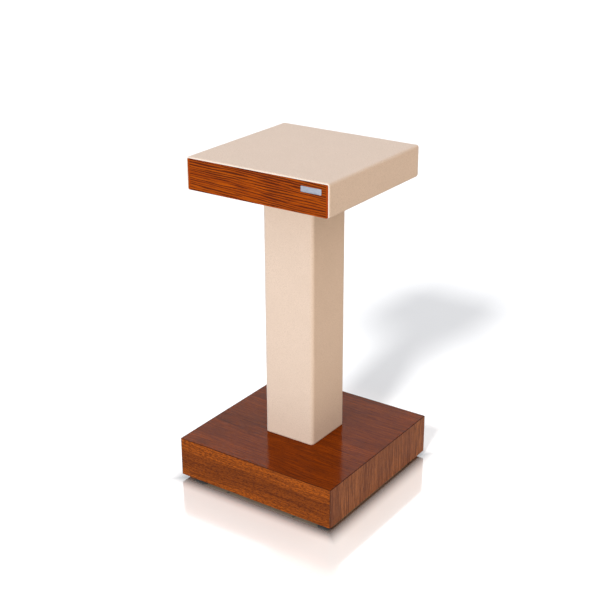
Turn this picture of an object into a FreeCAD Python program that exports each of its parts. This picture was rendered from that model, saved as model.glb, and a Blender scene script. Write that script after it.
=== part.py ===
import FreeCAD, Part
import os

# Cat tree: a low veneered box on rubber feet, a carpeted square column bolted to it,
# and a carpeted lying platform with a veneered fascia at its front and rear.
# Origin on the floor under the centre of the base; +Z up, -Y is the front, in millimetres.

V = FreeCAD.Vector

# Overall sizes
BASE_WIDTH = 450.0
BASE_HEIGHT = 103.0
FLOOR_GAP = 12.0              # floor to the lower rim of the base
POST_WIDTH = 143.0            # outside the carpet
PLATFORM_WIDTH = 394.0        # outside the carpet
PLATFORM_DEPTH = 386.0        # over both fascias
PLATFORM_HEIGHT = 79.0
TOTAL_HEIGHT = 843.0

# Carpet
CARPET = 3.5                  # pile and backing together
POST_CORNER = 6.0             # rounding of the column's boards under the carpet
PLATFORM_CORNER = 3.0         # rounding of the platform's long edges under the carpet
CARPET_LIP = 30.0             # strip turned under the platform at each side
SEAM_GAP = 0.6                # butt seam of the column's carpet, at the rear

# Board thicknesses
PANEL = 18.0                  # base panels, mounting board, rails, platform bottom
POST_BOARD = 16.0
BOTTOM_BOARD = 12.0
TOP_BOARD = 15.0
FASCIA = 12.0
END_BLOCK = 40.0              # blocks in the foot and the head of the column
ARRIS = 1.5                   # eased outer edges of the veneered base
FASCIA_ARRIS = 0.6
LIPPING = 6.0                 # solid wood strips on the ends of the fascias
RIM_RECESS = 3.0              # bottom board above the lower rim of the base
FIT_GAP = 0.5                 # play around the bottom board

# Blocks and cleats inside the base
CORNER_BLOCK = 40.0
CLEAT = 20.0
MOUNT_BOARD = 320.0

# Bolts M8 with inserts and washers
BOLT_SPREAD = 32.0            # from the column's axis, along X and along Y
BOLT_DIAMETER = 8.0
BOLT_HEAD_FLATS = 13.0
BOLT_HEAD_HEIGHT = 5.3
BASE_BOLT_LENGTH = 60.0
PLATFORM_BOLT_LENGTH = 40.0
CLEARANCE_HOLE = 9.0
INSERT_DIAMETER = 12.0
INSERT_LENGTH = 20.0
PILOT_DEPTH = 30.0
BOLT_TIP_CHAMFER = 1.0
WASHER_DIAMETER = 24.0
WASHER_THICKNESS = 1.6
ACCESS_HOLE = 30.0

# Wood screws
SCREW_DIAMETER = 4.0
SCREW_HEAD = 8.0
SCREW_TIP = 5.0
RECESS_WIDTH = 1.2
RECESS_DEPTH = 1.8
RECESS_REACH = 0.55           # arm of the cross, as a share of the head's radius
LONG_SCREW = 35.0
SHORT_SCREW = 25.0
MOUNT_SCREW = 30.0
CLEAT_SCREW = 28.0
MOUNT_SCREW_MARGIN = 20.0     # from the edges of the mounting board
CLEAT_SCREW_OFFSET = 100.0    # from the middle of each cleat
POST_SCREW_OFFSET = 25.0      # from the middle of each column board
POST_SCREW_LEVEL = 28.0       # from each end of the column
TOP_SCREW_OFFSET = 105.0      # top board, from the middle of each rail
BOTTOM_SCREW_OFFSET = 80.0    # bottom board, from the middle of each rail
FASCIA_SCREW_OFFSET = 120.0   # from the middle of each fascia

# Rubber feet
FOOT_DIAMETER = 38.0
FOOT_TAPER = 2.0
FOOT_ROUNDING = 2.0
FOOT_BORE = 5.0
FOOT_RECESS_DIAMETER = 15.0
FOOT_RECESS_DEPTH = 6.0
FOOT_SCREW_HEAD = 11.0
FOOT_SCREW_HEAD_HEIGHT = 3.0
FOOT_SCREW_DOME = 1.8         # rounding of the head

# Staples
STAPLE_CROWN = 10.0
STAPLE_LEG = 8.0
STAPLE_WIRE = 1.0
STAPLES_PER_LIP = 8
STAPLE_PITCH = 45.0
STAPLE_INSET = 8.0            # from the inner edge of the turned-under strip
STAPLE_SINK = 0.5             # crown pressed into the pile

# Badge plate
BADGE_WIDTH = 54.0
BADGE_HEIGHT = 13.5
BADGE_THICKNESS = 1.2
BADGE_CORNER = 1.5
BADGE_CHAMFER = 0.35
BADGE_RIM = 1.2               # raised border round the plain field
BADGE_FIELD_DEPTH = 0.3
BADGE_SIDE_MARGIN = 17.0      # from the right end of the fascia
BADGE_TOP_MARGIN = 12.0       # from the top edge of the fascia

# Tolerances for picking edges
PARALLEL = 0.999              # cosine of the angle to an axis
NEAR = 0.1                    # distance to a face

# Levels and half widths that follow from these
BASE_TOP = FLOOR_GAP + BASE_HEIGHT
BASE_CEILING = BASE_TOP - PANEL
BOTTOM_LOW = FLOOR_GAP + RIM_RECESS
BOTTOM_HIGH = BOTTOM_LOW + BOTTOM_BOARD
BASE_HALF = BASE_WIDTH / 2
BASE_INNER = BASE_HALF - PANEL
MOUNT_LOW = BASE_CEILING - PANEL
BLOCK_CENTRE = BASE_INNER - CORNER_BLOCK / 2
PLATFORM_LOW = TOTAL_HEIGHT - PLATFORM_HEIGHT
CARCASS_LOW = PLATFORM_LOW + CARPET
CARCASS_HIGH = TOTAL_HEIGHT - CARPET
RAIL_LOW = CARCASS_LOW + PANEL
RAIL_HIGH = CARCASS_HIGH - TOP_BOARD
PLATFORM_SIDE = PLATFORM_WIDTH / 2
PLATFORM_FRONT = PLATFORM_DEPTH / 2
CARCASS_SIDE = PLATFORM_SIDE - CARPET
CARCASS_FRONT = PLATFORM_FRONT - FASCIA
POST_HALF = POST_WIDTH / 2
POST_WOOD = POST_HALF - CARPET
POST_INNER = POST_WOOD - POST_BOARD
CORNER_SIGNS = {"front_left": (-1, -1), "front_right": (1, -1), "rear_right": (1, 1), "rear_left": (-1, 1)}
SIDE_TURNS = {"front": 0, "right": 90, "rear": 180, "left": 270}

DOWN = V(0, 0, -1)
UP = V(0, 0, 1)


# General helpers

def block(x0, x1, y0, y1, z0, z1):
    """A rectangular block between two corners."""
    return Part.makeBox(x1 - x0, y1 - y0, z1 - z0, V(x0, y0, z0))


def centred_block(half_x, half_y, z0, z1):
    """A rectangular block about the vertical axis."""
    return block(-half_x, half_x, -half_y, half_y, z0, z1)


def upright_edges(shape):
    """The straight vertical edges of a shape."""
    return [e for e in shape.Edges if abs(e.tangentAt(e.FirstParameter).z) > PARALLEL]


def lengthwise_edges(shape):
    """The straight edges that run front to rear."""
    return [e for e in shape.Edges if abs(e.tangentAt(e.FirstParameter).y) > PARALLEL]


def edges_at(shape, test):
    """The edges whose middle passes a test."""
    return [e for e in shape.Edges if test(e.CenterOfMass)]


def rounded_prism(half, radius, z0, z1):
    """A square prism with rounded vertical edges."""
    prism = centred_block(half, half, z0, z1)
    return prism.makeFillet(radius, upright_edges(prism))


def rounded_bar(half_x, half_y, radius, z0, z1):
    """A block whose front-to-rear edges are rounded."""
    bar = centred_block(half_x, half_y, z0, z1)
    return bar.makeFillet(radius, lengthwise_edges(bar))


def cylinder(x, y, z0, z1, diameter):
    """An upright cylinder."""
    return Part.makeCylinder(diameter / 2, z1 - z0, V(x, y, z0))


def six_sided(near, far):
    """A solid between two four-cornered faces, with straight sides."""
    loops = [near, far]
    for i in range(4):
        j = (i + 1) % 4
        loops.append([near[i], near[j], far[j], far[i]])
    faces = [Part.Face(Part.makePolygon(loop + [loop[0]])) for loop in loops]
    solid = Part.Solid(Part.Shell(faces))
    if solid.Volume < 0:
        solid.reverse()
    return solid


def turned(shape, degrees):
    """A copy turned about the vertical axis."""
    copy = shape.copy()
    copy.rotate(V(0, 0, 0), UP, degrees)
    return copy


def aimed(shape, point, direction):
    """A copy of a shape made pointing down from the origin, moved to a point and aimed."""
    copy = shape.copy()
    copy.Placement = FreeCAD.Placement(point, FreeCAD.Rotation(DOWN, direction))
    return copy


def group(shapes):
    """Several separate solids kept in one node."""
    return Part.makeCompound(shapes)


def bolt_places(z):
    """The four points of the column's bolt pattern at a level."""
    return [V(x * BOLT_SPREAD, y * BOLT_SPREAD, z) for x, y in CORNER_SIGNS.values()]


# Fasteners, made pointing down from the origin

def screw(length, with_recess=True):
    """A countersunk wood screw, its head flush at the origin."""
    shank = SCREW_DIAMETER / 2
    head = SCREW_HEAD / 2
    outline = Part.makePolygon([
        V(0, 0, 0), V(head, 0, 0), V(shank, 0, shank - head),
        V(shank, 0, SCREW_TIP - length), V(0, 0, -length), V(0, 0, 0)])
    body = Part.Face(outline).revolve(V(0, 0, 0), UP, 360)
    return body.cut(cross_recess(head)) if with_recess else body


def cross_recess(head_radius):
    """The cross in a screw head, open upwards at the origin."""
    reach = head_radius * RECESS_REACH
    arm = RECESS_WIDTH / 2
    along = block(-reach, reach, -arm, arm, -RECESS_DEPTH, 0)
    across = block(-arm, arm, -reach, reach, -RECESS_DEPTH, 0)
    return along.fuse(across)


def foot_screw(length, with_recess=True):
    """A pan-head screw; the underside of its head is at the origin."""
    head = FOOT_SCREW_HEAD / 2
    shank = SCREW_DIAMETER / 2
    dome = Part.makeCylinder(head, FOOT_SCREW_HEAD_HEIGHT)
    crown = edges_at(dome, lambda c: c.z > FOOT_SCREW_HEAD_HEIGHT - NEAR)
    dome = dome.makeFillet(FOOT_SCREW_DOME, crown)
    outline = Part.makePolygon([
        V(0, 0, 0), V(shank, 0, 0), V(shank, 0, SCREW_TIP - length), V(0, 0, -length), V(0, 0, 0)])
    body = dome.fuse(Part.Face(outline).revolve(V(0, 0, 0), UP, 360)).removeSplitter()
    if with_recess:
        cross = cross_recess(head)
        cross.translate(V(0, 0, FOOT_SCREW_HEAD_HEIGHT))
        body = body.cut(cross)
    return body


def hex_bolt(length):
    """A hexagon-head bolt; the underside of its head is at the origin."""
    corner_radius = BOLT_HEAD_FLATS / 3 ** 0.5
    corners = [V(corner_radius, 0, 0)]
    for step in range(1, 6):
        corners.append(FreeCAD.Rotation(UP, 60 * step).multVec(corners[0]))
    head = Part.Face(Part.makePolygon(corners + [corners[0]])).extrude(V(0, 0, BOLT_HEAD_HEIGHT))
    shank = Part.makeCylinder(BOLT_DIAMETER / 2, length, V(0, 0, -length))
    tip = edges_at(shank, lambda c: c.z < NEAR - length)
    shank = shank.makeChamfer(BOLT_TIP_CHAMFER, tip)
    return head.fuse(shank).removeSplitter()


def ring(outer, inner, z0, z1, point):
    """A washer or a threaded insert, upright, at the X and Y of a point."""
    body = cylinder(point.x, point.y, z0, z1, outer)
    return body.cut(cylinder(point.x, point.y, z0, z1, inner))


def staple(point):
    """A wire staple driven upwards; its crown's lowest face is at the point."""
    half = STAPLE_CROWN / 2
    wire = STAPLE_WIRE / 2
    top = STAPLE_WIRE + STAPLE_LEG
    crown = block(-wire, wire, -half, half, 0, STAPLE_WIRE)
    near = block(-wire, wire, -half, -half + STAPLE_WIRE, 0, top)
    far = block(-wire, wire, half - STAPLE_WIRE, half, 0, top)
    body = crown.fuse([near, far]).removeSplitter()
    body.translate(point)
    return body


# Where the screws go: lists of (point, direction)

def mount_board_screws():
    """Screws from the mounting board up into the top panel: a ring of eight."""
    reach = MOUNT_BOARD / 2 - MOUNT_SCREW_MARGIN
    spots = [(x, y) for x in (-reach, 0, reach) for y in (-reach, 0, reach) if (x, y) != (0, 0)]
    return [(V(x, y, MOUNT_LOW), UP) for x, y in spots]


def bottom_board_screws():
    """Screws from the bottom board up into the cleats, two for each cleat."""
    line = BASE_INNER - CLEAT / 2
    along = CLEAT_SCREW_OFFSET
    spots = [(-along, -line), (along, -line), (line, -along), (line, along),
             (along, line), (-along, line), (-line, along), (-line, -along)]
    return [(V(x, y, BOTTOM_LOW), UP) for x, y in spots]


def post_screws():
    """Screws through each column board into the foot block and the head block."""
    places = []
    for z in (BASE_TOP + POST_SCREW_LEVEL, CARCASS_LOW - POST_SCREW_LEVEL):
        for offset in (-POST_SCREW_OFFSET, POST_SCREW_OFFSET):
            places.append((V(offset, -POST_WOOD, z), V(0, 1, 0)))
            places.append((V(offset, POST_WOOD, z), V(0, -1, 0)))
            places.append((V(-POST_WOOD, offset, z), V(1, 0, 0)))
            places.append((V(POST_WOOD, offset, z), V(-1, 0, 0)))
    return places


def carcass_screws():
    """Screws through the platform's top and bottom boards into the rails."""
    x_line = CARCASS_SIDE - PANEL / 2
    y_line = CARCASS_FRONT - PANEL / 2
    places = []
    rows = ((TOP_SCREW_OFFSET, CARCASS_HIGH, DOWN), (BOTTOM_SCREW_OFFSET, CARCASS_LOW, UP))
    for offset, level, direction in rows:
        spots = [(x, y) for x in (-x_line, x_line) for y in (-offset, offset)]
        spots += [(x, y) for x in (-offset, offset) for y in (-y_line, y_line)]
        places += [(V(x, y, level), direction) for x, y in spots]
    return places


def fascia_screw_places():
    """Screws from inside the platform through the end rails into the fascias."""
    height = (RAIL_LOW + RAIL_HIGH) / 2
    inside = CARCASS_FRONT - PANEL
    places = []
    for x in (-FASCIA_SCREW_OFFSET, 0, FASCIA_SCREW_OFFSET):
        places.append((V(x, -inside, height), V(0, -1, 0)))
        places.append((V(x, inside, height), V(0, 1, 0)))
    return places


def staple_points():
    """Staples along the turned-under carpet at both sides."""
    line = CARCASS_SIDE - CARPET_LIP + STAPLE_INSET
    level = PLATFORM_LOW + STAPLE_SINK
    first = -STAPLE_PITCH * (STAPLES_PER_LIP - 1) / 2
    ys = [first + STAPLE_PITCH * i for i in range(STAPLES_PER_LIP)]
    return [V(x, y, level) for x in (-line, line) for y in ys]


def screws(places, length, with_recess=True):
    """Countersunk screws at a list of places."""
    return [aimed(screw(length, with_recess), point, direction) for point, direction in places]


def feet_spots():
    """The four foot positions, under the corner blocks."""
    return {name: V(x * BLOCK_CENTRE, y * BLOCK_CENTRE, 0) for name, (x, y) in CORNER_SIGNS.items()}


def foot_screw_set(with_recess=True):
    """The screws that hold the rubber feet."""
    level = V(0, 0, FOOT_RECESS_DEPTH)
    return [aimed(foot_screw(LONG_SCREW, with_recess), spot + level, UP) for spot in feet_spots().values()]


# Base

def base_shell():
    """The outside of the base as one eased block."""
    shell = centred_block(BASE_HALF, BASE_HALF, FLOOR_GAP, BASE_TOP)
    eased = upright_edges(shell) + edges_at(shell, lambda c: c.z > BASE_TOP - NEAR)
    return shell.makeFillet(ARRIS, eased)


def square_loop(half, z):
    """The four corners of a level square."""
    return [V(x * half, y * half, z) for x, y in CORNER_SIGNS.values()]


def base_top_panel():
    """The veneered top, mitred to the four side panels."""
    wedge = six_sided(square_loop(BASE_HALF, BASE_TOP), square_loop(BASE_INNER, BASE_CEILING))
    holes = [cylinder(p.x, p.y, BASE_CEILING, BASE_TOP, CLEARANCE_HOLE) for p in bolt_places(0)]
    screw_holes = screws(mount_board_screws(), MOUNT_SCREW, False)
    return base_shell().common(wedge).cut(holes + screw_holes)


def base_side_panel(degrees):
    """One veneered side panel, mitred at both ends and at its top."""
    outer = [V(-BASE_HALF, -BASE_HALF, FLOOR_GAP), V(BASE_HALF, -BASE_HALF, FLOOR_GAP),
             V(BASE_HALF, -BASE_HALF, BASE_TOP), V(-BASE_HALF, -BASE_HALF, BASE_TOP)]
    inner = [V(-BASE_INNER, -BASE_INNER, FLOOR_GAP), V(BASE_INNER, -BASE_INNER, FLOOR_GAP),
             V(BASE_INNER, -BASE_INNER, BASE_CEILING), V(-BASE_INNER, -BASE_INNER, BASE_CEILING)]
    front = base_shell().common(six_sided(outer, inner))
    return turned(front, degrees)


def base_mount_board():
    """The plywood board glued and screwed under the top, which the column is bolted through."""
    half = MOUNT_BOARD / 2
    board = centred_block(half, half, MOUNT_LOW, BASE_CEILING)
    holes = [cylinder(p.x, p.y, MOUNT_LOW, BASE_CEILING, CLEARANCE_HOLE) for p in bolt_places(0)]
    return board.cut(holes + screws(mount_board_screws(), MOUNT_SCREW, False))


def base_corner_block(x_sign, y_sign):
    """A glue block in one corner of the base, above the bottom board."""
    half = CORNER_BLOCK / 2
    x = x_sign * BLOCK_CENTRE
    y = y_sign * BLOCK_CENTRE
    body = block(x - half, x + half, y - half, y + half, BOTTOM_HIGH, BASE_CEILING)
    return body.cut(foot_screw_set(False))


def base_cleat(degrees):
    """A cleat along the inside of one side panel, between the corner blocks."""
    reach = BASE_INNER - CORNER_BLOCK
    front = block(-reach, reach, -BASE_INNER, CLEAT - BASE_INNER, BOTTOM_HIGH, BOTTOM_HIGH + CLEAT)
    return turned(front, degrees).cut(screws(bottom_board_screws(), CLEAT_SCREW, False))


def base_bottom_board():
    """The recessed underside, with holes to reach the column's bolts."""
    half = BASE_INNER - FIT_GAP
    board = centred_block(half, half, BOTTOM_LOW, BOTTOM_HIGH)
    holes = [cylinder(p.x, p.y, BOTTOM_LOW, BOTTOM_HIGH, ACCESS_HOLE) for p in bolt_places(0)]
    holes += screws(bottom_board_screws(), CLEAT_SCREW, False) + foot_screw_set(False)
    return board.cut(holes)


def rubber_foot(spot):
    """A slightly conical rubber foot with a recess for its screw."""
    radius = FOOT_DIAMETER / 2
    body = Part.makeCone(radius - FOOT_TAPER, radius, BOTTOM_LOW)
    body = body.makeFillet(FOOT_ROUNDING, edges_at(body, lambda c: c.z < NEAR))
    body.translate(spot)
    recess = cylinder(spot.x, spot.y, 0, FOOT_RECESS_DEPTH, FOOT_RECESS_DIAMETER)
    bore = cylinder(spot.x, spot.y, 0, BOTTOM_LOW, FOOT_BORE)
    return body.cut([recess, bore])


# Column

def post_core():
    """The outside of the column's boards as one rounded prism."""
    return rounded_prism(POST_WOOD, POST_CORNER, BASE_TOP, CARCASS_LOW)


def post_broad_board(degrees):
    """The front or rear board, as wide as the column's wood."""
    face = block(-POST_WOOD, POST_WOOD, -POST_WOOD, -POST_INNER, BASE_TOP, CARCASS_LOW)
    board = turned(post_core().common(face), degrees)
    return board.cut(screws(post_screws(), LONG_SCREW, False))


def post_narrow_board(degrees):
    """The left or right board, between the broad boards."""
    face = block(POST_INNER, POST_WOOD, -POST_INNER, POST_INNER, BASE_TOP, CARCASS_LOW)
    board = turned(post_core().common(face), degrees)
    return board.cut(screws(post_screws(), LONG_SCREW, False))


def post_block(z0, z1, mouth, inwards):
    """A solid block in an end of the column, bored for four inserts and their bolts."""
    body = centred_block(POST_INNER, POST_INNER, z0, z1)
    pockets = []
    for p in bolt_places(0):
        insert_end = mouth + inwards * INSERT_LENGTH
        pilot_end = mouth + inwards * PILOT_DEPTH
        pockets.append(cylinder(p.x, p.y, min(mouth, insert_end), max(mouth, insert_end), INSERT_DIAMETER))
        pockets.append(cylinder(p.x, p.y, min(mouth, pilot_end), max(mouth, pilot_end), CLEARANCE_HOLE))
    return body.cut(pockets + screws(post_screws(), LONG_SCREW, False))


def inserts(z0):
    """Four threaded inserts whose lower ends are at a level."""
    return group([ring(INSERT_DIAMETER, BOLT_DIAMETER, z0, z0 + INSERT_LENGTH, p) for p in bolt_places(0)])


def bolts(length, seat, direction):
    """Four bolts whose heads bear on washers at a level."""
    level = seat - direction.z * WASHER_THICKNESS
    return group([aimed(hex_bolt(length), p, direction) for p in bolt_places(level)])


def washers(z0):
    """Four washers whose lower faces are at a level."""
    rings = [ring(WASHER_DIAMETER, BOLT_DIAMETER, z0, z0 + WASHER_THICKNESS, p) for p in bolt_places(0)]
    return group(rings)


def post_carpet():
    """Carpet wrapped round the column, with a butt seam down the rear."""
    outer = rounded_prism(POST_HALF, POST_CORNER + CARPET, BASE_TOP, CARCASS_LOW)
    seam = block(-SEAM_GAP / 2, SEAM_GAP / 2, 0, POST_WIDTH, BASE_TOP, CARCASS_LOW)
    return outer.cut([post_core(), seam])


# Platform

def platform_core():
    """The outside of the platform under its carpet, fascias included."""
    return rounded_bar(CARCASS_SIDE, PLATFORM_FRONT, PLATFORM_CORNER, PLATFORM_LOW, CARCASS_HIGH)


def carcass_core():
    """The outside of the wooden carcass between the fascias."""
    return rounded_bar(CARCASS_SIDE, CARCASS_FRONT, PLATFORM_CORNER, CARCASS_LOW, CARCASS_HIGH)


def platform_bottom_board():
    """The board that sits on the column's head and is bolted to it."""
    board = carcass_core().common(centred_block(CARCASS_SIDE, CARCASS_FRONT, CARCASS_LOW, RAIL_LOW))
    holes = [cylinder(p.x, p.y, CARCASS_LOW, RAIL_LOW, CLEARANCE_HOLE) for p in bolt_places(0)]
    holes += screws(carcass_screws(), LONG_SCREW, False) + [staple(p) for p in staple_points()]
    return board.cut(holes)


def platform_top_board():
    """The board under the lying surface, fixed once the bolts are tight."""
    board = carcass_core().common(centred_block(CARCASS_SIDE, CARCASS_FRONT, RAIL_HIGH, CARCASS_HIGH))
    return board.cut(screws(carcass_screws(), LONG_SCREW, False))


def platform_side_rail(sign):
    """The left or right rail, the full depth of the carcass."""
    inside = CARCASS_SIDE - PANEL
    x0, x1 = sorted((sign * inside, sign * CARCASS_SIDE))
    rail = block(x0, x1, -CARCASS_FRONT, CARCASS_FRONT, RAIL_LOW, RAIL_HIGH)
    return rail.cut(screws(carcass_screws(), LONG_SCREW, False))


def platform_end_rail(sign):
    """The front or rear rail, between the side rails."""
    reach = CARCASS_SIDE - PANEL
    y0, y1 = sorted((sign * (CARCASS_FRONT - PANEL), sign * CARCASS_FRONT))
    rail = block(-reach, reach, y0, y1, RAIL_LOW, RAIL_HIGH)
    holes = screws(carcass_screws(), LONG_SCREW, False) + screws(fascia_screw_places(), SHORT_SCREW, False)
    return rail.cut(holes)


def platform_carpet():
    """One piece of carpet over the top and both sides, turned under at the bottom."""
    corner = PLATFORM_CORNER + CARPET
    outer = rounded_bar(PLATFORM_SIDE, PLATFORM_FRONT, corner, PLATFORM_LOW, TOTAL_HEIGHT)
    between_lips = CARCASS_SIDE - CARPET_LIP
    opening = centred_block(between_lips, CARCASS_FRONT, PLATFORM_LOW, CARCASS_LOW)
    ends = platform_core().cut(centred_block(PLATFORM_SIDE, CARCASS_FRONT, PLATFORM_LOW, TOTAL_HEIGHT))
    return outer.cut([carcass_core(), opening, ends] + [staple(p) for p in staple_points()])


def fascia_piece(sign, x0, x1):
    """A stretch of the front or rear fascia: its veneered middle or a solid lipping at an end."""
    y0, y1 = sorted((sign * CARCASS_FRONT, sign * PLATFORM_FRONT))
    panel = platform_core().common(block(-CARCASS_SIDE, CARCASS_SIDE, y0, y1, PLATFORM_LOW, CARCASS_HIGH))
    outside = edges_at(panel, lambda c: abs(c.y) > PLATFORM_FRONT - NEAR)
    panel = panel.makeChamfer(FASCIA_ARRIS, outside)
    piece = panel.common(block(x0, x1, y0, y1, PLATFORM_LOW, CARCASS_HIGH))
    return piece.cut(screws(fascia_screw_places(), SHORT_SCREW, False))


def fascia_nodes():
    """The front and rear fascias with their lippings."""
    nodes = {}
    middle = CARCASS_SIDE - LIPPING
    for name, sign in (("front", -1), ("rear", 1)):
        nodes[f"{name}_fascia"] = fascia_piece(sign, -middle, middle)
        nodes[f"{name}_fascia_left_lipping"] = fascia_piece(sign, -CARCASS_SIDE, -middle)
        nodes[f"{name}_fascia_right_lipping"] = fascia_piece(sign, middle, CARCASS_SIDE)
    return nodes


def badge_plate():
    """A plain metal plate on the front fascia, with rounded corners and a raised border."""
    right = CARCASS_SIDE - BADGE_SIDE_MARGIN
    left = right - BADGE_WIDTH
    high = CARCASS_HIGH - BADGE_TOP_MARGIN
    low = high - BADGE_HEIGHT
    face = -PLATFORM_FRONT - BADGE_THICKNESS
    plate = block(left, right, face, -PLATFORM_FRONT, low, high)
    plate = plate.makeFillet(BADGE_CORNER, lengthwise_edges(plate))
    plate = plate.makeChamfer(BADGE_CHAMFER, edges_at(plate, lambda c: c.y < face + NEAR))
    field = block(left + BADGE_RIM, right - BADGE_RIM, face, face + BADGE_FIELD_DEPTH,
                  low + BADGE_RIM, high - BADGE_RIM)
    return plate.cut(field.makeFillet(BADGE_CORNER / 2, lengthwise_edges(field)))


# All the nodes

def base_nodes():
    """Everything below the column."""
    nodes = {"base_top_panel": base_top_panel(), "base_mount_board": base_mount_board(),
             "base_bottom_board": base_bottom_board()}
    for side, degrees in SIDE_TURNS.items():
        nodes[f"base_{side}_panel"] = base_side_panel(degrees)
        nodes[f"base_{side}_cleat"] = base_cleat(degrees)
    for corner, (x_sign, y_sign) in CORNER_SIGNS.items():
        nodes[f"base_corner_block_{corner}"] = base_corner_block(x_sign, y_sign)
    for corner, spot in feet_spots().items():
        nodes[f"rubber_foot_{corner}"] = rubber_foot(spot)
    nodes["foot_screws"] = group(foot_screw_set())
    nodes["bottom_board_screws"] = group(screws(bottom_board_screws(), CLEAT_SCREW))
    nodes["mount_board_screws"] = group(screws(mount_board_screws(), MOUNT_SCREW))
    nodes["base_bolts"] = bolts(BASE_BOLT_LENGTH, MOUNT_LOW, UP)
    nodes["base_bolt_washers"] = washers(MOUNT_LOW - WASHER_THICKNESS)
    return nodes


def column_nodes():
    """The column between the base and the platform."""
    return {
        "post_front_board": post_broad_board(0),
        "post_rear_board": post_broad_board(180),
        "post_right_board": post_narrow_board(0),
        "post_left_board": post_narrow_board(180),
        "post_foot_block": post_block(BASE_TOP, BASE_TOP + END_BLOCK, BASE_TOP, 1),
        "post_head_block": post_block(CARCASS_LOW - END_BLOCK, CARCASS_LOW, CARCASS_LOW, -1),
        "post_foot_inserts": inserts(BASE_TOP),
        "post_head_inserts": inserts(CARCASS_LOW - INSERT_LENGTH),
        "post_board_screws": group(screws(post_screws(), LONG_SCREW)),
        "post_carpet": post_carpet(),
    }


def platform_nodes():
    """The lying platform on top of the column."""
    return {
        "platform_bottom_board": platform_bottom_board(),
        "platform_top_board": platform_top_board(),
        "platform_left_rail": platform_side_rail(-1),
        "platform_right_rail": platform_side_rail(1),
        "platform_front_rail": platform_end_rail(-1),
        "platform_rear_rail": platform_end_rail(1),
        "carcass_screws": group(screws(carcass_screws(), LONG_SCREW)),
        "platform_bolts": bolts(PLATFORM_BOLT_LENGTH, RAIL_LOW, DOWN),
        "platform_bolt_washers": washers(RAIL_LOW),
        "platform_carpet": platform_carpet(),
        "carpet_staples": group([staple(p) for p in staple_points()]),
        "fascia_screws": group(screws(fascia_screw_places(), SHORT_SCREW)),
        "badge_plate": badge_plate(),
        **fascia_nodes(),
    }


def main():
    """Write one STEP file for each node."""
    os.makedirs("parts", exist_ok=True)
    nodes = {**base_nodes(), **column_nodes(), **platform_nodes()}
    for name, shape in nodes.items():
        shape.exportStep(f"parts/{name}.step")
        print(f"{name}: {len(shape.Solids)} solids, {shape.Volume / 1000:.2f} cm3, valid {shape.isValid()}")


main()
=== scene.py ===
import math

import bpy
from mathutils import Euler, Matrix, Vector, noise


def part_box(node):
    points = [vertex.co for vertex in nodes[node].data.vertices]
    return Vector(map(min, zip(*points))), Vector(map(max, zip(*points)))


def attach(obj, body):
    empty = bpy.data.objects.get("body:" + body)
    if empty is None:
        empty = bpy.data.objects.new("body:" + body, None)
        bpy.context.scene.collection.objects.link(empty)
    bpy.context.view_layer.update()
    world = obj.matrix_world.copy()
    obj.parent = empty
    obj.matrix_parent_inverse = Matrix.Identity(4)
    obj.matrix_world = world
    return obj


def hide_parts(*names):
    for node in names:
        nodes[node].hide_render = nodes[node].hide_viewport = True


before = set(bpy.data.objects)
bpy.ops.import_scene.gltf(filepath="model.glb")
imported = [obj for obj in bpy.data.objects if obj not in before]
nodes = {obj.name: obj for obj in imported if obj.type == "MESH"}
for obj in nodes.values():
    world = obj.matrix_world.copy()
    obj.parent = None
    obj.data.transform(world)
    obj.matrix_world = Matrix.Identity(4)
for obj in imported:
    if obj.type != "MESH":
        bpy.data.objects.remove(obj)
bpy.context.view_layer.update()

# Cat tree: detailed carpets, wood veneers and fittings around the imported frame.
# Metres throughout; X runs left to right, -Y is the front, Z is up.

MM = 0.001

# Places read from the frame
BASE_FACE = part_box("base_right_panel")[1].x
BASE_HALF = (BASE_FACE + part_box("base_front_panel")[1].x) / 2    # halfway over its eased upright edges
BASE_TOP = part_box("base_top_panel")[1].z
CARPET_LOW, CARPET_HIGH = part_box("platform_carpet")
POST_LOW, POST_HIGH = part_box("post_carpet")
POST_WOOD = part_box("post_front_board")[1].x
CARCASS_LOW, CARCASS_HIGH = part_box("platform_bottom_board")
CARCASS_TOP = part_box("platform_top_board")[1].z
FASCIA_LOW, FASCIA_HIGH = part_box("front_fascia")
FASCIA_MIDDLE = (FASCIA_LOW.z + FASCIA_HIGH.z) / 2

# Carpet sizes that the frame's boxes don't give
PILE = CARPET_HIGH.x - CARCASS_HIGH.x        # thickness of the carpet
LIP = 30 * MM                                # turned under at each side
SEAM = 0.6 * MM                              # butt seam down the rear of the column
PLATFORM_CORNER = 3 * MM                     # inside radius of the platform's carpet
POST_CORNER = 6 * MM                         # inside radius of the column's carpet
NOTCH_PLAY = 0.3 * MM                        # between the turned-under strip and a fascia

# Unevenness of the pile, and how its cut edges round off
SWELLS_PER_METRE, TUFTS_PER_METRE = 22.0, 140.0
PLATFORM_SWELL, POST_SWELL, TUFT_HEIGHT = 0.25 * MM, 0.3 * MM, 0.12 * MM
END_REACH, END_DROP = 1.2 * MM, 1.0 * MM     # at the platform's front and rear edges
SEAM_DROP = 0.9 * MM                         # beside the column's seam
EDGE_BULGE, EDGE_RAGGEDNESS = 0.25 * MM, 0.2 * MM
EDGE_TUFTS_PER_METRE = 400.0

# The carpets' meshes
GRID = 3 * MM                                # spacing of their points
ARC_STEPS = 6                                # to a quarter turn


# Shader graphs

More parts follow.
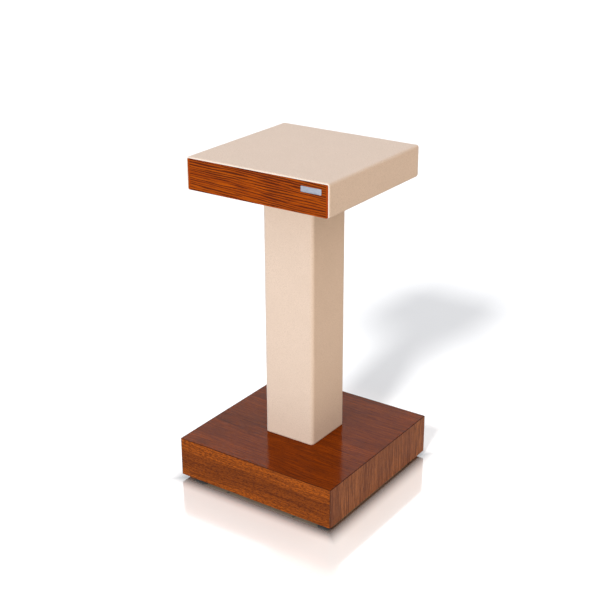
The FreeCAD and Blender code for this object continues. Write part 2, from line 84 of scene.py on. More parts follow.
class Graph:
    """The node tree of a material or a world, with a short call for each kind of node."""

    def __init__(self, owner):
        owner.use_nodes = True
        self.tree = owner.node_tree

    def feed(self, socket, value):
        """Links another socket in, or sets a constant."""
        if isinstance(value, bpy.types.NodeSocket):
            self.tree.links.new(value, socket)
        else:
            socket.default_value = value

    def add(self, kind, inputs=(), **settings):
        node = self.tree.nodes.new(kind)
        for name, value in settings.items():
            setattr(node, name, value)
        for key, value in dict(inputs).items():
            self.feed(node.inputs[key], value)
        return node

    def split(self, vector):
        """The X, Y and Z of a vector, by name."""
        return self.add("ShaderNodeSeparateXYZ", {0: vector}).outputs

    def place(self, order="XYZ", offset=(0, 0, 0)):
        """The object's own coordinates, reordered and shifted."""
        own = self.split(self.add("ShaderNodeTexCoord").outputs["Object"])
        reordered = {number: own[axis] for number, axis in enumerate(order)}
        joined = self.add("ShaderNodeCombineXYZ", reordered)
        return self.vector("ADD", joined.outputs[0], offset)

    def vector(self, operation, a, b):
        return self.add("ShaderNodeVectorMath", {0: a, 1: b}, operation=operation).outputs[0]

    def math(self, operation, a, b=0.0):
        return self.add("ShaderNodeMath", {0: a, 1: b}, operation=operation).outputs[0]

    def lifted(self, vector, amount):
        """A vector moved along Y by an amount."""
        lift = self.add("ShaderNodeCombineXYZ", {"Y": amount}).outputs[0]
        return self.vector("ADD", vector, lift)

    def centred(self, value, span):
        """A noise value as a wander of a span about nought."""
        return self.math("MULTIPLY", self.math("SUBTRACT", value, 0.5), span)

    def noise(self, vector, scale=1.0, detail=2.0, roughness=0.5, distortion=0.0):
        inputs = {"Vector": vector, "Scale": scale, "Detail": detail, "Roughness": roughness,
                  "Distortion": distortion}
        return self.add("ShaderNodeTexNoise", inputs).outputs[0]

    def stretched(self, vector, counts, **settings):
        """Noise with its own count per metre along each axis."""
        return self.noise(self.vector("MULTIPLY", vector, counts), **settings)

    def cells(self, vector, scale):
        inputs = {"Vector": vector, "Scale": scale}
        return self.add("ShaderNodeTexVoronoi", inputs).outputs["Distance"]

    def steps(self, value, low, high, start=0.0, end=1.0):
        """A smooth step from start to end as the value goes from low to high."""
        inputs = {"Value": value, "From Min": low, "From Max": high, "To Min": start, "To Max": end}
        return self.add("ShaderNodeMapRange", inputs, interpolation_type="SMOOTHSTEP").outputs[0]

    def mix(self, factor, a, b):
        node = self.add("ShaderNodeMix", data_type="RGBA", blend_type="MIX")
        for socket, value in ((node.inputs[0], factor), (node.inputs[6], a), (node.inputs[7], b)):
            self.feed(socket, value)
        return node.outputs[2]

    def bump(self, height, distance, strength=1.0):
        inputs = {"Height": height, "Distance": distance, "Strength": strength}
        return self.add("ShaderNodeBump", inputs).outputs[0]


class Finish(Graph):
    """The node tree of a new material."""

    def __init__(self, name):
        self.material = bpy.data.materials.new(name)
        super().__init__(self.material)
        self.shader = self.tree.nodes["Principled BSDF"]

    def surface(self, **inputs):
        """Sets the shader's own sockets: Base_Color for "Base Color", and so on."""
        for name, value in inputs.items():
            self.feed(self.shader.inputs[name.replace("_", " ")], value)


def rgb(red, green, blue):
    """A linear colour with full alpha."""
    return (red, green, blue, 1.0)


# Wood

DARK_GRAIN = rgb(0.062, 0.0125, 0.0035)
ARRIS = 1.9 * MM                             # reach of the painted shade on the base's eased edges
PALE_BAND = 28 * MM                          # height of the pale band on the base's front
BAND_EDGE = (-4 * MM, 10 * MM)               # blend from the band into the deep heartwood
HEART_FOOT = (85 * MM, 35 * MM)              # blend back to pale towards the floor
BAND_WANDER = 40 * MM
STREAK_PITCH = 5.5 * MM                      # between the fascia's dark streaks
BOLD_RANGE = (-5 * MM, 30 * MM)              # above the fascia's middle, streaks grow bolder


def lacquer(graph, colour, height, coat, coat_roughness):
    """Finishes a wood graph: open grain under a clear lacquer."""
    graph.surface(Base_Color=colour, Roughness=0.5, Normal=graph.bump(height, 0.05 * MM))
    graph.surface(Specular_IOR_Level=0.0, Coat_Weight=coat, Coat_Roughness=coat_roughness, Coat_IOR=1.5)
    return graph.material


def pitted(graph, colour, height, open_pores, share, pore_colour):
    """A wood's colour and height with its open pores cut in."""
    colour = graph.mix(graph.math("MULTIPLY", open_pores, share), colour, pore_colour)
    pits = graph.math("MULTIPLY", open_pores, 0.7)
    return colour, graph.math("SUBTRACT", graph.math("MULTIPLY", height, 0.3), pits)


def arris_mask(graph):
    """1 on the eased outer edges of the base, 0 on its flat faces."""
    place = graph.split(graph.place())
    across, along = (graph.math("ABSOLUTE", place[axis]) for axis in "XY")
    total = 0.0
    for distance, edge in ((across, BASE_HALF), (along, BASE_HALF), (place["Z"], BASE_TOP)):
        total = graph.math("ADD", total, graph.steps(distance, edge - ARRIS, edge - ARRIS / 2))
    return graph.steps(total, 1.0, 1.8)


def banded_tone(graph, figure):
    """How light the base's front and rear are: a pale band over deep heartwood."""
    height = graph.math("ADD", graph.split(graph.place())["Z"], graph.centred(figure, BAND_WANDER))
    from_band = graph.math("SUBTRACT", BASE_TOP - PALE_BAND, height)
    heart = graph.math("MULTIPLY", graph.steps(from_band, *BAND_EDGE), graph.steps(from_band, *HEART_FOOT))
    return graph.math("SUBTRACT", 0.95, graph.math("MULTIPLY", heart, 0.80))


def base_veneer(name, order, offset, flecks, fleck_depth, tones, coat, banded=False):
    """Reddish-brown veneer, its grain along the first axis of order.

    flecks are the counts per metre of its dark dashes along and across the grain, and
    fleck_depth is how dark they are; tones are its light and its deep colour.
    """
    graph = Finish(name)
    place = graph.place(order, offset)
    drift = graph.stretched(place, (4, 14, 14), detail=2)
    bent = graph.lifted(place, graph.centred(drift, 0.03))
    figure = graph.stretched(bent, (2.2, 16, 16), detail=3, roughness=0.55)
    dashes = graph.stretched(bent, flecks, detail=3, roughness=0.65, distortion=0.4)
    lines = graph.stretched(bent, (10, 420, 420), detail=3, roughness=0.6)
    pores = graph.stretched(bent, (110, 1700, 1700), detail=1)
    light, deep = tones
    tone = banded_tone(graph, figure) if banded else graph.steps(figure, 0.34, 0.66)
    colour = graph.mix(tone, deep, light)
    colour = graph.mix(graph.steps(lines, 0.40, 0.64, 0.0, 0.60), colour, DARK_GRAIN)
    colour = graph.mix(graph.steps(dashes, 0.47, 0.59, 0.0, fleck_depth), colour, DARK_GRAIN)
    open_pores = graph.steps(pores, 0.60, 0.68)
    colour, height = pitted(graph, colour, lines, open_pores, 0.55, rgb(0.022, 0.006, 0.003))
    # Painted shade: a deep brown laid along the eased edges, where the rounded arrises turn from the light.
    arris_shade = graph.math("MULTIPLY", arris_mask(graph), 0.75)
    return lacquer(graph, graph.mix(arris_shade, colour, rgb(0.030, 0.006, 0.002)), height, coat, 0.13)


def fascia_veneer(name, offset):
    """Orange-brown veneer with nearly straight, evenly pitched dark streaks."""
    graph = Finish(name)
    place = graph.place("XZY", offset)
    drift = graph.centred(graph.stretched(place, (5, 12, 0), detail=2), 0.010)
    slope = graph.math("MULTIPLY", graph.split(place)["X"], 0.04)
    bent = graph.lifted(place, graph.math("ADD", drift, slope))
    figure = graph.stretched(bent, (4, 60, 0), detail=2)
    ragged = graph.stretched(bent, (12, 330, 0), detail=3, roughness=0.6)
    wander = graph.stretched(bent, (5, 70, 0), detail=1)
    lines = graph.stretched(bent, (22, 640, 0), detail=2, roughness=0.6)
    pores = graph.stretched(bent, (130, 2100, 0), detail=1)
    turns = graph.math("MULTIPLY", graph.split(bent)["Y"], 2 * math.pi / STREAK_PITCH)
    phase = graph.math("ADD", turns, graph.math("MULTIPLY", wander, 9.0))
    rings = graph.math("MULTIPLY", graph.math("SINE", phase), 0.09)
    streaks = graph.math("ADD", graph.math("MULTIPLY", ragged, 0.6), rings)
    bold_from, bold_to = (FASCIA_MIDDLE + rise for rise in BOLD_RANGE)
    bold = graph.steps(graph.split(graph.place())["Z"], bold_from, bold_to, 0.0, 0.04)
    colour = graph.mix(graph.steps(figure, 0.34, 0.66), rgb(0.285, 0.047, 0.0020), rgb(0.365, 0.070, 0.0023))
    colour = graph.mix(graph.steps(lines, 0.42, 0.66, 0.0, 0.55), colour, rgb(0.10, 0.014, 0.003))
    dark = graph.steps(graph.math("ADD", streaks, bold), 0.29, 0.38, 0.0, 0.88)
    colour = graph.mix(dark, colour, rgb(0.050, 0.0075, 0.004))
    open_pores = graph.steps(pores, 0.60, 0.70)
    colour, height = pitted(graph, colour, streaks, open_pores, 0.4, rgb(0.02, 0.005, 0.003))
    return lacquer(graph, colour, height, 0.05, 0.18)


def lipping_wood():
    """Plain straight-grained strips stained to match the fascia."""
    graph = Finish("fascia_lipping_wood")
    lines = graph.stretched(graph.place("ZXY"), (14, 700, 700), detail=3)
    colour = graph.mix(graph.steps(lines, 0.35, 0.7), rgb(0.33, 0.050, 0.0025), rgb(0.20, 0.028, 0.002))
    return lacquer(graph, colour, lines, 0.05, 0.18)


def raw_wood(name, order, light, deep, counts=(8, 140, 140)):
    """Unfinished timber or board inside the cat tree."""
    graph = Finish(name)
    place = graph.place(order)
    rings = graph.stretched(place, counts, detail=4, roughness=0.6, distortion=0.3)
    fibres = graph.noise(place, 1400, detail=2)
    colour = graph.mix(graph.steps(rings, 0.35, 0.68), light, deep)
    colour = graph.mix(graph.steps(fibres, 0.4, 0.7, 0.0, 0.2), colour, deep)
    graph.surface(Base_Color=colour, Roughness=0.75, Specular_IOR_Level=0.3)
    graph.surface(Normal=graph.bump(fibres, 0.2 * MM, 0.5))
    return graph.material


# Carpet, rubber, metal and the floor

CONTACT_SHADOW_EDGE = (-16 * MM, 42 * MM)             # from the base's edge, where the plate's painted contact shadow turns pale
PLATE_FADE = (30 * MM, 300 * MM)             # and where it turns into the matt floor


def carpet_pile():
    """Short dense cream pile, slightly uneven in tone."""
    graph = Finish("carpet_pile")
    place = graph.place()
    tufts = graph.cells(place, 620)
    fibres = graph.noise(place, 1500, detail=3, roughness=0.7)
    patches = graph.noise(place, 22, detail=4, roughness=0.6)
    shade = graph.math("ADD", graph.math("MULTIPLY", tufts, 0.6), graph.math("MULTIPLY", fibres, 0.5))
    colour = graph.mix(graph.steps(shade, 0.25, 0.85), rgb(0.72, 0.58, 0.475), rgb(0.56, 0.435, 0.345))
    colour = graph.mix(graph.steps(patches, 0.35, 0.65, 0.0, 0.25), colour, rgb(0.60, 0.475, 0.38))
    height = graph.math("SUBTRACT", fibres, graph.math("MULTIPLY", tufts, 0.9))
    graph.surface(Base_Color=colour, Roughness=1.0, Specular_IOR_Level=0.1)
    graph.surface(Sheen_Weight=0.15, Sheen_Roughness=0.6, Normal=graph.bump(height, 0.8 * MM, 0.6))
    return graph.material


def carpet_edge():
    """The paler cut ends of the pile and its backing."""
    graph = Finish("carpet_cut_edge")
    place = graph.place()
    fibres = graph.noise(place, 2200, detail=3, roughness=0.7)
    tufts = graph.cells(place, 700)
    colour = graph.mix(graph.steps(fibres, 0.3, 0.7), rgb(0.80, 0.73, 0.66), rgb(0.66, 0.58, 0.50))
    colour = graph.mix(graph.steps(tufts, 0.3, 0.8, 0.0, 0.3), colour, rgb(0.5, 0.42, 0.35))
    graph.surface(Base_Color=colour, Roughness=1.0, Specular_IOR_Level=0.1)
    graph.surface(Normal=graph.bump(fibres, 0.5 * MM, 0.6))
    return graph.material


def carpet_backing():
    """The woven backing on the glued side."""
    graph = Finish("carpet_backing")
    weave = graph.cells(graph.place(), 480)
    colour = graph.mix(graph.steps(weave, 0.2, 0.7), rgb(0.42, 0.34, 0.25), rgb(0.25, 0.19, 0.13))
    graph.surface(Base_Color=colour, Roughness=0.9, Normal=graph.bump(weave, 0.4 * MM, 0.5))
    return graph.material


def rubber():
    """Matt black moulded rubber with a fine grain and dust."""
    graph = Finish("foot_rubber")
    place = graph.place()
    grain = graph.noise(place, 1800, detail=2)
    dust = graph.noise(place, 90, detail=5, roughness=0.7)
    dusty = graph.steps(dust, 0.45, 0.75, 0.0, 0.5)
    colour = graph.mix(dusty, rgb(0.018, 0.018, 0.019), rgb(0.06, 0.058, 0.055))
    graph.surface(Base_Color=colour, Roughness=graph.steps(dust, 0.3, 0.7, 0.55, 0.85))
    graph.surface(Normal=graph.bump(grain, 0.1 * MM, 0.5))
    return graph.material


def metal(name, light, deep, counts, roughness):
    """Plated or brushed metal, its lines along the axis with the lowest count."""
    graph = Finish(name)
    place = graph.place()
    lines = graph.stretched(place, counts, detail=3, roughness=0.7)
    smears = graph.noise(place, 120, detail=3)
    colour = graph.mix(graph.steps(lines, 0.3, 0.7), light, deep)
    graph.surface(Base_Color=colour, Metallic=1.0, Normal=graph.bump(lines, 0.02 * MM, 0.6))
    graph.surface(Roughness=graph.steps(smears, 0.3, 0.7, roughness, roughness + 0.15))
    return graph.material


def studio_floor():
    """A polished plate, painted dark round the object's foot as a contact shadow, that fades into matt white.
    """
    graph = Finish("studio_floor")
    place = graph.split(graph.place())
    across, along = (graph.math("ABSOLUTE", place[axis]) for axis in "XY")
    distance = graph.math("MAXIMUM", across, along)
    beside = graph.steps(distance, *(BASE_HALF + edge for edge in CONTACT_SHADOW_EDGE))
    away = graph.steps(distance, *(BASE_HALF + edge for edge in PLATE_FADE))
    # Painted shadow: near black at the base's edge, then pale further out.
    plate = graph.mix(beside, rgb(0.03, 0.032, 0.032), rgb(0.74, 0.70, 0.67))
    graph.surface(Base_Color=graph.mix(away, plate, rgb(0.60, 0.60, 0.60)), IOR=2.5)
    graph.surface(Roughness=graph.steps(away, 0.0, 1.0, 0.10, 0.50))
    graph.surface(Specular_IOR_Level=graph.steps(away, 0.0, 1.0, 1.0, 0.30))
    return graph.material


# Outlines: flat lines of points, from which the carpets are made

def arc(centre, radius, start, end):
    """Points on an arc, in degrees, both ends included."""
    angles = [math.radians(start + (end - start) * i / ARC_STEPS) for i in range(ARC_STEPS + 1)]
    return [Vector((centre[0] + radius * math.cos(a), centre[1] + radius * math.sin(a))) for a in angles]


def step_counts(points):
    """How many steps of the grid each stretch of an outline takes."""
    return [max(1, round((b - a).length / GRID)) for a, b in zip(points, points[1:])]


def spread(points, counts):
    """Fills each stretch of an outline with its own number of steps."""
    result = [points[0]]
    for a, b, count in zip(points, points[1:], counts):
        result += [a.lerp(b, i / count) for i in range(1, count + 1)]
    return result


def stations(*stops):
    """Numbers through the given stops in steps of the grid."""
    points = [Vector((stop, 0)) for stop in stops]
    return [point.x for point in spread(points, step_counts(points))]


def mirrored(half):
    """A whole outline from its right half, starting at the left end."""
    return [Vector((-p.x, p.y)) for p in reversed(half)] + half[1:]


def outward(outline, k):
    """The outline's normal at its point k, away from the wood."""
    a, b = outline[max(k - 1, 0)], outline[min(k + 1, len(outline) - 1)]
    along = (b - a).normalized()
    return Vector((-along.y, along.x))


def middle_length(outer, inner):
    """The length of the line midway between two outlines."""
    middle = [(a + b) / 2 for a, b in zip(outer, inner)]
    return sum((b - a).length for a, b in zip(middle, middle[1:]))


# Carpets: thick sheets on a grid

def unevenness(point, swell):
    """A smooth, repeatable wander of the pile's height."""
    return (swell * noise.noise(point * SWELLS_PER_METRE)
            + TUFT_HEIGHT * noise.noise(point * TUFTS_PER_METRE))


def linked(name, data):
    """A new object in the scene."""
    made = bpy.data.objects.new(name, data)
    bpy.context.scene.collection.objects.link(made)
    return made


class ThickSheet:
    """A closed sheet between an outer and an inner grid of points, some cells left out."""

    WALL_RINGS = 3

    def __init__(self, outer, inner, keep):
        self.outer, self.inner, self.keep = outer, inner, keep
        self.verts, self.faces, self.slots = [], [], []
        self.index = {}

    def vertex(self, key, point):
        if key not in self.index:
            self.index[key] = len(self.verts)
            self.verts.append(point)
        return self.index[key]

    def corner(self, side, i, j):
        grid = self.outer if side == "outer" else self.inner
        return self.vertex((side, i, j), grid[i][j])

    def wall_vertex(self, i, j, ring, away):
        """A point on the cut edge between the outer corner and the inner one."""
        if ring == 0:
            return self.corner("outer", i, j)
        if ring == self.WALL_RINGS:
            return self.corner("inner", i, j)
        point = self.outer[i][j].lerp(self.inner[i][j], ring / self.WALL_RINGS)
        bulge = EDGE_BULGE + EDGE_RAGGEDNESS * noise.noise(point * EDGE_TUFTS_PER_METRE)
        return self.vertex(("wall", i, j, ring), point + away * bulge)

    def face(self, corners, slot):
        distinct = [c for k, c in enumerate(corners) if c not in corners[:k]]
        if len(distinct) > 2:
            self.faces.append(distinct)
            self.slots.append(slot)

    def wall(self, a, b, away):
        """Closes the sheet along one edge of a kept cell; a to b runs anticlockwise seen from outside."""
        for ring in range(self.WALL_RINGS):
            self.face([self.wall_vertex(*b, ring, away), self.wall_vertex(*a, ring, away),
                       self.wall_vertex(*a, ring + 1, away), self.wall_vertex(*b, ring + 1, away)], 1)

    def build(self, name, materials):
        """Makes the object; the materials are the pile's, the cut edges' and the backing's."""
        rows, columns = len(self.outer) - 1, len(self.outer[0]) - 1
        kept = {(i, j) for i in range(rows) for j in range(columns) if self.keep(i, j)}
        for i, j in sorted(kept):
            loop = [(i, j), (i + 1, j), (i + 1, j + 1), (i, j + 1)]
            self.face([self.corner("outer", *c) for c in loop], 0)
            self.face([self.corner("inner", *c) for c in reversed(loop)], 2)
            for step, a, b in (((-1, 0), loop[3], loop[0]), ((1, 0), loop[1], loop[2]),
                               ((0, -1), loop[0], loop[1]), ((0, 1), loop[2], loop[3])):
                if (i + step[0], j + step[1]) not in kept:
                    edge = self.outer[a[0]][a[1]]
                    back = self.outer[a[0] - step[0]][a[1] - step[1]]
                    self.wall(a, b, (edge - back).normalized())
        mesh = bpy.data.meshes.new(name)
        mesh.from_pydata(self.verts, [], self.faces)
        for material in materials:
            mesh.materials.append(material)
        mesh.polygons.foreach_set("material_index", self.slots)
        mesh.polygons.foreach_set("use_smooth", [True] * len(self.faces))
        mesh.update()
        return linked(name, mesh)


def platform_profile(radius, side, low, high, lip_end):
    """Half of the carpet's outline across the platform, from the top's middle to the lip's end."""
    return ([Vector((0, high))]
            + arc((side - radius, high - radius), radius, 90, 0)
            + arc((side - radius, low + radius), radius, 0, -90)
            + [Vector((lip_end, low))])


def platform_carpet(materials):
    """The carpet over the platform's top and sides, its strips turned under.

    Beside a fascia nothing is turned under, and the sides end in a cut edge at the bottom.
    """
    lip_end = CARCASS_HIGH.x - LIP
    outer_half = platform_profile(PLATFORM_CORNER + PILE, CARPET_HIGH.x, CARPET_LOW.z, CARPET_HIGH.z, lip_end)
    inner_half = platform_profile(PLATFORM_CORNER, CARCASS_HIGH.x, CARCASS_LOW.z, CARCASS_TOP, lip_end)
    end_half = [Vector((p.x, max(p.y - PILE, CARPET_LOW.z))) if p.y < CARCASS_LOW.z + PLATFORM_CORNER else p
                for p in inner_half]
    counts = step_counts(outer_half)
    outer_line, inner_line, end_line = (mirrored(spread(half, counts))
                                        for half in (outer_half, inner_half, end_half))
    end, notch = CARPET_HIGH.y, CARCASS_HIGH.y - NOTCH_PLAY
    strip_end = notch + NOTCH_PLAY / 2
    ys = stations(-end, -notch - NOTCH_PLAY, -notch, notch, notch + NOTCH_PLAY, end)

    def raised(point, normal):
        """A point of the pile's surface: uneven, and rounded off towards the cut ends."""
        drop = END_DROP * max(0.0, 1 - (end - abs(point.y)) / END_REACH) ** 2
        return point + normal * (unevenness(point, PLATFORM_SWELL) - drop)

    outer, inner = [], []
    for k, point in enumerate(outer_line):
        slant = outward(outer_line, k)
        normal = Vector((slant.x, 0, slant.y))
        outer.append([raised(Vector((point.x, y, point.y)), normal) for y in ys])
        backs = [end_line[k] if abs(y) > strip_end else inner_line[k] for y in ys]
        inner.append([Vector((back.x, y, back.y)) for back, y in zip(backs, ys)])

    def keep(i, j):
        under = max(outer_line[i].y, outer_line[i + 1].y) < CARPET_LOW.z + 0.1 * MM
        return not (under and max(abs(ys[j]), abs(ys[j + 1])) > strip_end)

    sheet = ThickSheet(outer, inner, keep).build("platform_carpet_pile", materials)
    return sheet, middle_length(outer_line, inner_line)


def post_profile(half, radius):
    """The carpet's outline round the column, from the seam at the rear and back to it."""
    points = [Vector((SEAM / 2, half))]
    for sx, sy, start in ((1, 1, 90), (1, -1, 0), (-1, -1, -90), (-1, 1, -180)):
        points += arc((sx * (half - radius), sy * (half - radius)), radius, start, start - 90)
    return points + [Vector((-SEAM / 2, half))]


def post_carpet(materials):
    """The carpet wrapped round the column, with a seam down the rear."""
    outer_profile = post_profile(POST_HIGH.x, POST_CORNER + PILE)
    inner_profile = post_profile(POST_WOOD, POST_CORNER)
    counts = step_counts(outer_profile)
    outer_line, inner_line = spread(outer_profile, counts), spread(inner_profile, counts)
    levels = stations(POST_LOW.z, POST_HIGH.z)
    outer, inner = [], []
    for k, (point, back) in enumerate(zip(outer_line, inner_line)):
        normal = outward(outer_line, k).to_3d()
        drop = SEAM_DROP if k in (0, len(outer_line) - 1) else 0.0
        spots = [Vector((point.x, point.y, z)) for z in levels]
        outer.append([spot + normal * (unevenness(spot, POST_SWELL) - drop) for spot in spots])
        inner.append([Vector((back.x, back.y, z)) for z in levels])
    sheet = ThickSheet(outer, inner, lambda i, j: True).build("post_carpet_pile", materials)
    return sheet, middle_length(outer_line, inner_line)


def lay_carpets():
    materials = [carpet_pile(), carpet_edge(), carpet_backing()]
    top, across = platform_carpet(materials)
    wrap, around = post_carpet(materials)
    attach(top, "root")
    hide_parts("platform_carpet")
    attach(wrap, "root")
    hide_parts("post_carpet")


# Finishes of the CAD nodes

ALONG, SHORT = (22, 380, 380), (120, 360, 360)           # the flecks of the base's faces
TOP_TONES = (rgb(0.240, 0.041, 0.0026), rgb(0.180, 0.029, 0.0021))
FRONT_TONES = (rgb(0.345, 0.079, 0.0068), rgb(0.176, 0.039, 0.0048))
# The sides' tones are paler and greyer than the front's: partly the veneer, partly a painted reflection haze
# of the bright surroundings.
SIDE_TONES_WITH_HAZE = (rgb(0.333, 0.116, 0.0365), rgb(0.257, 0.085, 0.0290))

# The base's faces: order of axes, offset in the grain, flecks, their depth, tones, coat, banded
BASE_FACES = {
    "top": ("XYZ", (0.30, 0.10, 0.0), ALONG, 0.50, TOP_TONES, 0.04),
    "front": ("XZY", (1.70, 0.35, 0.0), SHORT, 0.66, FRONT_TONES, 0.10, True),
    "rear": ("XZY", (4.10, 0.85, 0.0), SHORT, 0.66, FRONT_TONES, 0.10, True),
    "right": ("ZYX", (2.20, 1.30, 0.0), ALONG, 0.50, SIDE_TONES_WITH_HAZE, 0.20),
    "left": ("ZYX", (3.40, 2.60, 0.0), ALONG, 0.50, SIDE_TONES_WITH_HAZE, 0.20),
}


def finish_nodes():
    """Gives every CAD node that stays its own detailed material."""
    pine = rgb(0.62, 0.42, 0.22), rgb(0.42, 0.25, 0.11)
    board = rgb(0.40, 0.27, 0.15), rgb(0.31, 0.20, 0.11)
    ply = rgb(0.60, 0.42, 0.24), rgb(0.38, 0.24, 0.12)
    plated = (300, 300, 300)
    rails_x = raw_wood("pine_along_x", "XYZ", *pine)
    rails_y = raw_wood("pine_along_y", "YXZ", *pine)
    blocks = raw_wood("pine_blocks", "ZXY", *pine)
    fibreboard = raw_wood("fibreboard", "XYZ", *board, (160, 160, 160))
    plywood = raw_wood("plywood", "XYZ", *ply, (3, 60, 700))
    zinc = metal("zinc_plate", rgb(0.68, 0.69, 0.71), rgb(0.50, 0.51, 0.53), plated, 0.28)
    yellow_zinc = metal("yellow_zinc_plate", rgb(0.72, 0.62, 0.36), rgb(0.55, 0.45, 0.25), plated, 0.30)
    brass = metal("turned_brass", rgb(0.72, 0.54, 0.24), rgb(0.60, 0.43, 0.17), (60, 60, 1500), 0.25)
    badge = metal("badge_brushed", rgb(0.33, 0.35, 0.40), rgb(0.24, 0.26, 0.31), (30, 30, 3000), 0.32)
    lipping = lipping_wood()
    black = rubber()
    finishes = {f"base_{face}_panel": base_veneer(f"base_{face}_veneer", *settings)
                for face, settings in BASE_FACES.items()}
    finishes["front_fascia"] = fascia_veneer("front_fascia_veneer", (0.15, 0.20, 0.0))
    finishes["rear_fascia"] = fascia_veneer("rear_fascia_veneer", (2.45, 1.10, 0.0))
    finishes["base_mount_board"] = plywood
    finishes["badge_plate"] = badge
    # The first of these that a name holds, for all other nodes
    rules = (
        ("_lipping", lipping), ("rubber_foot", black), ("_inserts", brass), ("_bolts", zinc),
        ("_washers", zinc), ("foot_screws", zinc), ("_staples", zinc), ("_screws", yellow_zinc),
        ("front_rail", rails_x), ("rear_rail", rails_x), ("front_cleat", rails_x), ("rear_cleat", rails_x),
        ("_rail", rails_y), ("_cleat", rails_y), ("_block", blocks), ("_board", fibreboard))
    for name, node in nodes.items():
        if name.endswith("_carpet"):
            continue
        material = finishes.get(name) or next(m for key, m in rules if key in name)
        node.data.materials.clear()
        node.data.materials.append(material)


# Studio

CAMERA_AZIMUTH = math.radians(34.647)
CAMERA_ELEVATION = math.radians(22.388)
CAMERA_ROLL = math.radians(-0.21)
CAMERA_DISTANCE = 2.9191
CAMERA_LENS = 71.96
AIM = Vector((0.0008, -0.0214, 0.4732))

FLOOR_REACH = 40.0
SUN_DIRECTION = (math.radians(11), math.radians(36))      # azimuth from the front, elevation
SUN_ANGLE = math.radians(9)
SUN_STRENGTH = 4.6
SOFTBOX_DIRECTION = (math.radians(4), math.radians(10))
SOFTBOX_SIZE = (2.2, 1.4)
SOFTBOX_WATTS = 114.0
PANEL_SIZE = (5.0, 3.0)
PANEL_WATTS = 400.0
LAMP_DISTANCE = 4.0
SKY_STRENGTH = 0.68
BACKDROP_STRENGTH = 1.20


def outwards(azimuth, elevation):
    """The direction from the object to something at an azimuth from the front, and an elevation."""
    level = math.cos(elevation)
    return Vector((math.sin(azimuth) * level, -math.cos(azimuth) * level, math.sin(elevation)))


def studio_ground():
    """A wide floor that fills the view, and that no diffuse ray sees."""
    mesh = bpy.data.meshes.new("floor")
    corners = [(FLOOR_REACH * x, FLOOR_REACH * y, 0) for x, y in ((-1, -1), (1, -1), (1, 1), (-1, 1))]
    mesh.from_pydata(corners, [], [(0, 1, 2, 3)])
    mesh.materials.append(studio_floor())
    floor = linked("studio_floor", mesh)
    floor.visible_diffuse = False
    return floor


def sky():
    """Soft light from all round: strongest overhead, warmer on the right.

    Light from below stands in for the floor's, and reflections see an even backdrop.
    """
    world = bpy.data.worlds.new("studio_sky")
    graph = Graph(world)
    direction = graph.split(graph.add("ShaderNodeTexCoord").outputs["Generated"])
    warmth = graph.steps(direction["X"], 0.1, 0.9)
    tint = graph.mix(warmth, rgb(0.94, 1.0, 1.09), rgb(1.50, 1.23, 0.95))
    above = graph.steps(direction["Z"], 0.0, 1.0, 0.35, 2.1)
    below = graph.steps(direction["Z"], 0.0, -0.4, 0.0, 1.0)
    level = graph.math("MULTIPLY", graph.math("ADD", above, below), SKY_STRENGTH)
    light = graph.add("ShaderNodeBackground", {"Color": tint, "Strength": level})
    even = {"Color": rgb(0.97, 1.0, 1.04), "Strength": BACKDROP_STRENGTH}
    backdrop = graph.add("ShaderNodeBackground", even)
    path = graph.add("ShaderNodeLightPath").outputs
    seen = graph.math("MAXIMUM", path["Is Camera Ray"], path["Is Glossy Ray"])
    chosen = graph.add("ShaderNodeMixShader", {0: seen, 1: light.outputs[0], 2: backdrop.outputs[0]})
    graph.feed(graph.tree.nodes["World Output"].inputs["Surface"], chosen.outputs[0])
    bpy.context.scene.world = world


def limited(lamp, objects, state="INCLUDE"):
    """Lets a light reach only some objects, or all but some."""
    receivers = bpy.data.collections.new(lamp.name + "_receivers")
    for number, item in enumerate(objects):
        receivers.objects.link(item)
        receivers.collection_objects[number].light_linking.link_state = state
    lamp.light_linking.receiver_collection = receivers


def aim(lamp, direction):
    """Points a light at the object from a direction."""
    lamp.rotation_euler = direction.to_track_quat("Z", "Y").to_euler()


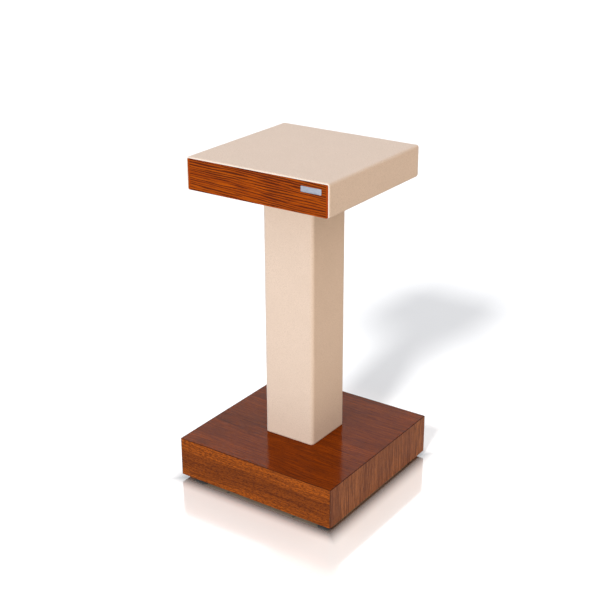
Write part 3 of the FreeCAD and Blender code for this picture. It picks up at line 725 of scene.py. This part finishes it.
def area_lamp(name, size, watts, colour, target, direction):
    """A rectangular lamp aimed at a target from a direction."""
    data = bpy.data.lights.new(name, "AREA")
    data.shape = "RECTANGLE"
    data.size, data.size_y = size
    data.energy = watts
    data.color = colour
    lamp = linked(name, data)
    lamp.location = target + direction * LAMP_DISTANCE
    aim(lamp, direction)
    return lamp


def sun(floor):
    """The light that only the floor receives, for the object's soft shadow."""
    data = bpy.data.lights.new("sun", "SUN")
    data.energy = SUN_STRENGTH
    data.angle = SUN_ANGLE
    lamp = linked("sun", data)
    aim(lamp, outwards(*SUN_DIRECTION))
    limited(lamp, [floor])


def softbox(floor):
    """The large soft light in front of the object, kept off the floor."""
    lamp = area_lamp("softbox", SOFTBOX_SIZE, SOFTBOX_WATTS, (1.0, 0.98, 0.95), AIM,
                     outwards(*SOFTBOX_DIRECTION))
    limited(lamp, [floor], "EXCLUDE")


def rear_panel():
    """The wide cool panel behind the object that only the base's lacquer mirrors."""
    lamp = area_lamp("rear_panel", PANEL_SIZE, PANEL_WATTS, (0.34, 1.0, 1.10), Vector((0, 0, BASE_TOP)),
                     outwards(CAMERA_AZIMUTH + math.pi, CAMERA_ELEVATION))
    lamp.visible_diffuse = False
    limited(lamp, [node for name, node in nodes.items() if name.startswith("base_")])


def camera():
    """The camera: above the object, between its front and its right side."""
    data = bpy.data.cameras.new("camera")
    data.lens = CAMERA_LENS
    eye = linked("camera", data)
    eye.location = AIM + outwards(CAMERA_AZIMUTH, CAMERA_ELEVATION) * CAMERA_DISTANCE
    level = Euler((math.pi / 2 - CAMERA_ELEVATION, 0, CAMERA_AZIMUTH)).to_matrix()
    eye.rotation_euler = (level @ Matrix.Rotation(CAMERA_ROLL, 3, "Z")).to_euler()
    bpy.context.scene.camera = eye


def studio():
    """The floor, the lights and the camera."""
    bpy.context.scene.view_settings.view_transform = "Standard"
    floor = studio_ground()
    sky()
    sun(floor)
    softbox(floor)
    rear_panel()
    camera()


lay_carpets()
finish_nodes()
studio()
